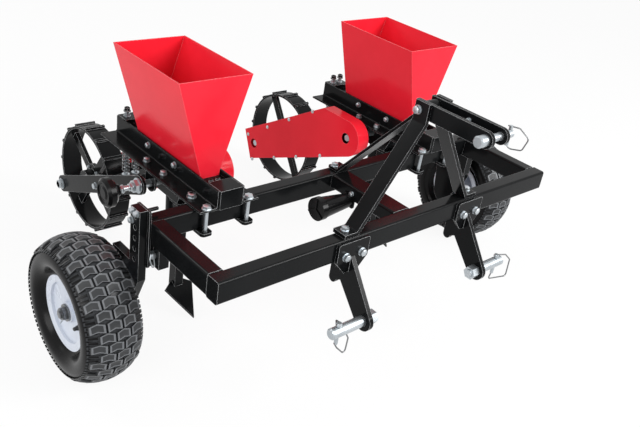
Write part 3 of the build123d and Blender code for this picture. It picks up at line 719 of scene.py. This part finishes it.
# Washers, as shares of the head's width and height
plain_washer = {"Washer radius": 0.66, "Washer thickness": 0.2}
thick_washer = {"Washer radius": 0.75, "Washer thickness": 0.25}


def bolts(name, rows, body, material=zinc_plate, slot="zinc"):
    """Hexagon bolts or nuts with plain washers."""
    return fasteners(name, bolt_tree, rows, body, material, slot, **plain_washer)


def wire(name, points, radius, bend, material=zinc_plate):
    """Bent wire or straight pin of the frame through places in mm."""
    edges = [(i, i + 1) for i in range(len(points) - 1)]
    base = point_mesh(name, [place(*point) for point in points], edges)
    values = {"Material": material, "Wire radius": radius / 1000, "Bend radius": bend / 1000}
    return new_piece(name, run_tree(wire_tree, base, values), "frame", sharp=60)


# A ring smaller than this, in mm, is one point on the axis
pole_r = 0.01


def turned_mesh(name, profile, centre, axis, steps):
    """Form of revolution from its (along, radius) profile in mm about an axis."""
    shape = bmesh.new()
    turn = Vector(up).rotation_difference(Vector(axis)).to_matrix().to_4x4()
    to_place = Matrix.Translation(centre) @ turn
    rings = []
    for along, radius in profile:
        ring = []
        for step in range(1 if radius < pole_r else steps):
            angle = 2 * math.pi * step / steps
            spoke = Vector((math.cos(angle), math.sin(angle), 0)) * (radius / 1000)
            ring.append(shape.verts.new(to_place @ (spoke + Vector((0, 0, along / 1000)))))
        rings.append(ring)
    for near, far in zip(rings, rings[1:]):
        for step in range(steps):
            after = (step + 1) % steps
            if len(near) == 1:
                shape.faces.new((near[0], far[step], far[after]))
            elif len(far) == 1:
                shape.faces.new((near[step], near[after], far[0]))
            else:
                shape.faces.new((near[step], near[after], far[after], far[step]))
    bmesh.ops.recalc_face_normals(shape, faces=shape.faces)
    mesh = bpy.data.meshes.new(name)
    shape.to_mesh(mesh)
    shape.free()
    return mesh


def eased_profile(points, steps=6):
    """Smooth Catmull-Rom profile through a few (along, radius) points."""
    eased = []
    for index in range(len(points) - 1):
        before = Vector(points[max(index - 1, 0)])
        near = Vector(points[index])
        far = Vector(points[index + 1])
        after = Vector(points[min(index + 2, len(points) - 1)])
        for step in range(steps):
            t = step / steps
            first = (far - before) * t
            second = (2 * before - 5 * near + 4 * far - after) * t * t
            third = (3 * near - before - 3 * far + after) * t * t * t
            eased.append(tuple((2 * near + first + second + third) / 2))
    eased.append(tuple(points[-1]))
    return eased


# Gauge wheels: carcass, tread blocks, shoulder ribs, castle nut and valve

crown_r = 115.0
block_h = 5.5
rib_rise = 1.3

# Worn look of the crown: where it starts, its fade, and the plain wall above the bead
crown_edge = 4
crown_fade = 16
wall_h = 48

tread_form = {
    "Material": tread_rubber,
    "Rows": 42,
    "Columns": 3,
    "Pitch across": 0.0365,
    "Stagger": 0.5,
    "Block width": 0.0338,
    "Block length": 0.0226,
    "Block height": block_h / 1000,
    "Bend": 0.006,
    "Crown radius": crown_r / 1000,
}
rib_form = {
    **tread_form,
    "Material": side_rubber,
    "Rows": 84,
    "Columns": 2,
    "Pitch across": 0.111,
    "Stagger": 0.0,
    "Block width": 0.027,
    "Block length": 0.0092,
    "Block height": 0.0016,
    "Bend": 0.0,
}

# Outward, back and up in mm: the nut's seat and the valve's foot from the wheel's middle,
# and the bends of the cotter from the nut's seat
nut_seat = 43
valve_foot = (36, -50, -12)
cotter_bends = ((10, -2, 15), (10, -2, -17), (18, -4, -22))
valve_profile = [(0, 0), (0, 6.5), (6, 6), (8, 4.8), (13, 4.6), (14.5, 3.8), (14.5, 0)]


def crown_dip(along):
    """How far the crown falls away from its middle, in mm."""
    return crown_r - math.sqrt(crown_r**2 - along**2)


for tag, side in sides:
    body = "gauge_wheel_" + tag
    low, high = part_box("tyre_" + tag)
    hub = (low + high) / 2
    tyre_r = (high.z - low.z) * 500
    half = (high.x - low.x) * 500
    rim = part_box("gauge_rim_" + tag)
    bead = (rim[1].z - rim[0].z) * 500 + 1
    base_r = tyre_r - block_h
    section = [
        (-half + 27, bead - 4),
        (-half + 26, bead + 3),
        (-half + 20, bead + 9),
        (-half + 9, bead + 17),
        (-half + 2, bead + 28),
        (-half + 0.5, bead + 42),
        (-half + 3.5, bead + 54),
    ]
    for inset in (10, 22, 36, 54):
        section.append((-half + inset, base_r - crown_dip(half - inset)))
    section.append((0, base_r))
    outline = eased_profile(section)
    outline = outline + [(-along, radius) for along, radius in reversed(outline[:-1])]
    carcass = turned_mesh("tyre_carcass_" + tag, outline, hub, rightward, 96)
    crown = carcass.attributes.new("raised", "FLOAT", "POINT")
    for vertex in carcass.vertices:
        reach = abs(vertex.co.x - hub.x) * 1000
        worn = min(max((half - crown_edge - reach) / crown_fade, 0), 1)
        on_wall = (vertex.co - hub).length * 1000 < bead + wall_h
        crown.data[vertex.index].value = 0 if on_wall else worn
    piece = new_piece("tyre_carcass_" + tag, carcass, body, side_rubber, 60)
    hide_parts("tyre_" + tag)
    layers = (("tread_", tread_form, tyre_r), ("shoulder_ribs_", rib_form, base_r + rib_rise))
    for name, form, top_r in layers:
        values = {**form, "Tread radius": top_r / 1000, "Centre": hub}
        mesh = run_tree(tread_tree, point_mesh(name + "base_" + tag, [hub]), values)
        new_piece(name + tag, mesh, body)
    outward = (side, 0, 0)
    hub_x, hub_depth, hub_rise = where(hub)
    seat = hub_x + side * nut_seat
    stack = [
        ((seat, hub_depth, hub_rise), outward, 28, 15),
        ((seat + side * 14, hub_depth, hub_rise), outward, 18, 5),
    ]
    fasteners("hub_nut_" + tag, bolt_tree, stack, "frame", spring_steel, **thick_washer)
    cotter = [(seat + side * a, hub_depth + b, hub_rise + c) for a, b, c in cotter_bends]
    wire("hub_cotter_" + tag, cotter, 1.6, 3)
    out, back, rise = valve_foot
    foot = place(hub_x + side * out, hub_depth + back, hub_rise + rise)
    mesh = turned_mesh("valve_stem_" + tag, valve_profile, foot, (side, -0.12, 0.05), 20)
    new_piece("valve_stem_" + tag, mesh, body, valve_rubber)


# Bolts of the frame, hitch, mast and rails: place, axis, width across flats, height in mm

frame_bolts = [
    # Feet of the mast legs and the brace
    ((-216, 23, 10), up, 16, 11),
    ((236, 23, 10), up, 16, 11),
    ((-1, 295, 8), up, 16, 10),
    # Pad of the canister
    ((-30, 188, -20), leftward, 12, 8),
    # Head of the mast and the bars of the top link
    ((-32, 32, 281), leftward, 17, 11),
    ((52, 32, 281), rightward, 17, 13),
    ((32, -67, 283), leftward, 11, 7),
]
rail_top_depths = (326.5, 452, 533)
rail_side_depths = (437, 563)
clamp_depths = (258, 322)
clamp_across = 60.75
leg_spots = ((300, 24), (281, 24), (303, -2))
clamp_rods = []
for tag, side in sides:
    outward = (side, 0, 0)
    unit = side * unit_x
    arm = middle("hitch_arm_" + tag).x
    for across in (-26, 26):
        frame_bolts.append(((arm + across, -9, -40), ahead, 17, 12))
    for edge in (-1, 1):
        for depth in rail_top_depths:
            frame_bolts.append(((unit + edge * 60, depth, 5), up, 15, 10))
        for depth in rail_side_depths:
            frame_bolts.append(((unit + edge * 37.5, depth, 33), (edge, 0, 0), 13, 9))
        for depth in clamp_depths:
            frame_bolts.append(((unit + edge * clamp_across, depth, 5), up, 18.6, 10))
            clamp_rods.append(((unit + edge * clamp_across, depth, -56.2), up, 10.6, 61))
    arm_x = outer_face("wheel_arms_" + tag, side)
    frame_bolts.append(((arm_x, 721, -147), outward, 15, 10))
    leg_x = inner_face("wheel_leg_" + tag, side) + side * 20
    for depth, rise in leg_spots:
        frame_bolts.append(((leg_x, depth, rise), outward, 13, 9))
    frame_bolts.append(((side * 577, 270, -86), ahead, 15, 12))
bolts("frame_bolts", frame_bolts, "frame")
fasteners("clamp_rods", rod_tree, clamp_rods, "frame")

# Studs over the tube ends that hold the gauge wheel legs, with their nuts and clips

stud_spot = (590, 300, 13)
clip_bends = (
    (583, 262, -80),
    (588, 257, -92),
    (580, 257, -116),
    (574, 258, -112),
    (577, 260, -86),
)
stud_rods = []
stud_nuts = []
for tag, side in sides:
    inward = (-side, 0, 0)
    out, depth, rise = stud_spot
    stud_rods.append(((side * out, depth, rise), inward, 9, 44))
    stud_nuts.append(((side * out, depth, rise), inward, 16, 9))
    clip = [(side * a, b, c) for a, b, c in clip_bends]
    wire("leg_clip_" + tag, clip, 1.7, 4)
fasteners("leg_studs", rod_tree, stud_rods, "frame", black_coat, "black_paint")
bolts("leg_stud_nuts", stud_nuts, "frame")

# Hopper base bolts on the plates ahead of the hoppers

base_bolts = []
for tag, side in sides:
    plate_rise = where(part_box("meter_" + tag)[1]).z
    for edge in (-1, 1):
        base_bolts.append(((side * unit_x + edge * 10, 320, plate_rise), up, 10, 6))
bolts("base_bolts", base_bolts, "frame", black_coat, "black_paint")

# Nuts on the drive axles and bolts of the hub plates, turning with the drive wheels

hub_bolt_r = 34
for tag, side in sides:
    outward = (side, 0, 0)
    axle = middle("drive_axle_" + tag)
    arm_x = outer_face("wheel_arms_" + tag, side)
    rows = [((arm_x + side * 1, axle.y, axle.z), outward, 25, 13)]
    plate_x = side * unit_x + side * 6
    for quarter in range(4):
        angle = math.radians(45 + 90 * quarter)
        back = axle.y + hub_bolt_r * math.cos(angle)
        rise = axle.z + hub_bolt_r * math.sin(angle)
        rows.append(((plate_x, back, rise), outward, 9, 6))
    bolts("axle_nuts_" + tag, rows, "drive_wheel_" + tag)

# Washers and nuts on the pivots of the wheel arms, turning with the meter shafts

for tag, side in sides:
    shaft = middle("meter_shaft_" + tag)
    arm_x = outer_face("wheel_arms_" + tag, side)
    rows = []
    for out, wide, tall in ((1, 31, 17), (19, 19, 9), (44, 17, 9)):
        rows.append(((arm_x + side * out, shaft.y, shaft.z), (side, 0, 0), wide, tall))
    bolts("pivot_nuts_" + tag, rows, "feed_drive_" + tag)

# Chain guard screws along both long edges: depth and rise of each

guard_spots = (
    (970, -221),
    (869, -152),
    (763, -81),
    (656, -10),
    (933, -304),
    (814, -246),
    (703, -193),
    (591, -139),
)
guard_screws = []
for tag, side in sides:
    face = inner_face("chain_guard_" + tag, side)
    for depth, rise in guard_spots:
        guard_screws.append(((face, depth, rise), (-side, 0, 0), 13, 8))
fasteners("guard_screws", screw_tree, guard_screws, "frame")

# Down springs on their rods, between the rear blocks and the cross bars

spring_depth = 718
spring_foot = -118
springs = []
rod_nuts = []
rod_caps = []
rod_top = where(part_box("spring_rods")[1]).z
for _, side in sides:
    for across in (-15, 15):
        x = side * unit_x + across
        springs.append(((x, spring_depth, spring_foot), up, 1000, 1000))
        rod_nuts.append(((x, spring_depth, 49), up, 15, 9))
        rod_caps.append(((x, spring_depth, rod_top - 12), up, 15, 12))
coil = {"Coil radius": 0.0095, "Wire radius": 0.0019, "Length": 0.118, "Turns": 12.0}
fasteners("down_springs", spring_tree, springs, "frame", spring_steel, **coil)
bolts("rod_nuts", rod_nuts, "frame")
bolts("rod_caps", rod_caps, "frame", black_coat, "black_paint")

# Lynch pins through the lower hitch pins and the top link pin, with their wire rings

# How each ring hangs from its pin: outward, back and up in mm, the top one from the pin's end
hung_rings = {
    "left": (
        (9, 0, 21),
        (-6, 17, 19),
        (-26, 18, 2),
        (-43, 2, -38),
        (-38, 0, -84),
        (-4, -2, -48),
        (5, 0, -33),
    ),
    "right": (
        (9, 0, 21),
        (41, -4, 14),
        (72, -4, -12),
        (80, -2, -73),
        (-9, 0, -54),
        (0, 0, -34),
    ),
}
top_ring = (
    (-9, 8, 17),
    (-4, -20, 20),
    (4, -44, 2),
    (4, -34, -30),
    (-2, -6, -36),
    (-9, 6, -24),
)
head_profile = [(0, 0), (0, 7), (5, 8), (9, 6), (9, 0)]
for tag, side in sides:
    pin = middle("lower_pin_" + tag)
    x = outer_face("lower_pin_" + tag, side) - side * 24
    wire("lynch_pin_" + tag, [(x, pin.y, pin.z + 24), (x, pin.y, pin.z - 36)], 5, 0.1)
    seat = place(x, pin.y, pin.z + 16)
    mesh = turned_mesh("lynch_head_" + tag, head_profile, seat, up, 20)
    new_piece("lynch_head_" + tag, mesh, "frame", zinc_plate)
    ring = [(x + side * a, pin.y + b, pin.z + c) for a, b, c in hung_rings[tag]]
    wire("lynch_ring_" + tag, ring, 1.9, 7, spring_steel)

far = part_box("top_link_pin")[1].x * 1000
top = middle("top_link_pin")
wire("top_lynch_pin", [(far - 9, top.y, top.z + 20), (far - 9, top.y, top.z - 28)], 4.5, 0.1)
ring = [(far + a, top.y + b, top.z + c) for a, b, c in top_ring]
wire("top_lynch_ring", ring, 1.6, 9, spring_steel)


# Floor, light and camera


def background_rays(tree):
    """Mask of the rays that see the plain white background: camera, glossy and transmission."""
    rays = tree.nodes.new("ShaderNodeLightPath")
    shown = rays.outputs["Is Camera Ray"]
    for label in ("Is Glossy Ray", "Is Transmission Ray"):
        either = shader_node(tree, "ShaderNodeMath", operation="MAXIMUM")
        tree.links.new(shown, either.inputs[0])
        tree.links.new(rays.outputs[label], either.inputs[1])
        shown = either.outputs[0]
    return shown


floor_reach = 40
floor_white = 0.91
sky_strength = 0.6
white = (1, 1, 1, 1)

floor_mesh = bpy.data.meshes.new("floor")
corners = [(floor_reach * a, floor_reach * b, 0) for a, b in ((-1, -1), (1, -1), (1, 1), (-1, 1))]
floor_mesh.from_pydata(corners, [], [(0, 1, 2, 3)])
floor = bpy.data.objects.new("floor", floor_mesh)
bpy.context.scene.collection.objects.link(floor)
floor_paint = bpy.data.materials.new("white_floor")
floor_paint.use_nodes = True
tree = floor_paint.node_tree
matt = tree.nodes["Principled BSDF"]
matt.inputs["Base Color"].default_value = (0.82, 0.82, 0.82, 1)
matt.inputs["Roughness"].default_value = 0.9
matt.inputs["Specular IOR Level"].default_value = 0.1
glow = shader_node(tree, "ShaderNodeEmission", {"Color": white, "Strength": 1.0})
blend = tree.nodes.new("ShaderNodeMixShader")
seen = shader_node(tree, "ShaderNodeMath", {1: floor_white}, operation="MULTIPLY")
tree.links.new(background_rays(tree), seen.inputs[0])
tree.links.new(seen.outputs[0], blend.inputs["Fac"])
tree.links.new(matt.outputs[0], blend.inputs[1])
tree.links.new(glow.outputs[0], blend.inputs[2])
tree.links.new(blend.outputs[0], tree.nodes["Material Output"].inputs["Surface"])
floor_mesh.materials.append(floor_paint)

world = bpy.data.worlds.new("studio")
bpy.context.scene.world = world
world.use_nodes = True
sky = world.node_tree
plain = sky.nodes["Background"]
plain.inputs["Color"].default_value = white
plain.inputs["Strength"].default_value = sky_strength
backdrop = shader_node(sky, "ShaderNodeBackground", {"Color": white, "Strength": 1.0})
mixed = sky.nodes.new("ShaderNodeMixShader")
sky.links.new(background_rays(sky), mixed.inputs["Fac"])
sky.links.new(plain.outputs[0], mixed.inputs[1])
sky.links.new(backdrop.outputs[0], mixed.inputs[2])
sky.links.new(mixed.outputs[0], sky.nodes["World Output"].inputs["Surface"])


def softbox(name, spot, aim, wide, power):
    """Square area lamp that faces a point."""
    lamp = bpy.data.lights.new(name, "AREA")
    lamp.shape = "SQUARE"
    lamp.size = wide
    lamp.energy = power
    holder = bpy.data.objects.new(name, lamp)
    bpy.context.scene.collection.objects.link(holder)
    holder.location = spot
    holder.rotation_euler = (Vector(aim) - Vector(spot)).to_track_quat("-Z", "Y").to_euler()


# Place and aim in metres, width in metres, power in watts
softbox("front_softbox", (2.0, -3.2, 2.6), (0, 0, 0.5), 2.2, 190)
softbox("rear_softbox", (-2.4, 2.9, 3.2), (0, 0, 0.4), 0.9, 30)
softbox("side_softbox", (-3.4, -1.4, 1.9), (0, 0, 0.4), 1.8, 55)

# Camera solved from the photograph
camera = bpy.data.cameras.new("camera")
camera.lens = 42.50
camera.sensor_width = 36.0
camera.sensor_fit = "HORIZONTAL"
camera.shift_x = 0.0034
camera.shift_y = -0.0047
camera.clip_end = 100
holder = bpy.data.objects.new("camera", camera)
bpy.context.scene.collection.objects.link(holder)
right = Vector((0.7460, -0.6507, 0.1416)).normalized()
ray = Vector((0.6271, 0.6148, -0.4783)).normalized()
above = right.cross(ray).normalized()
right = ray.cross(above)
turn = Matrix((right, above, -ray)).transposed().to_4x4()
eye = Vector((-1.35428, front_y - 0.99580, frame_top + 0.88137))
holder.matrix_world = Matrix.Translation(eye) @ turn
bpy.context.scene.camera = holder
bpy.context.scene.view_settings.view_transform = "Standard"
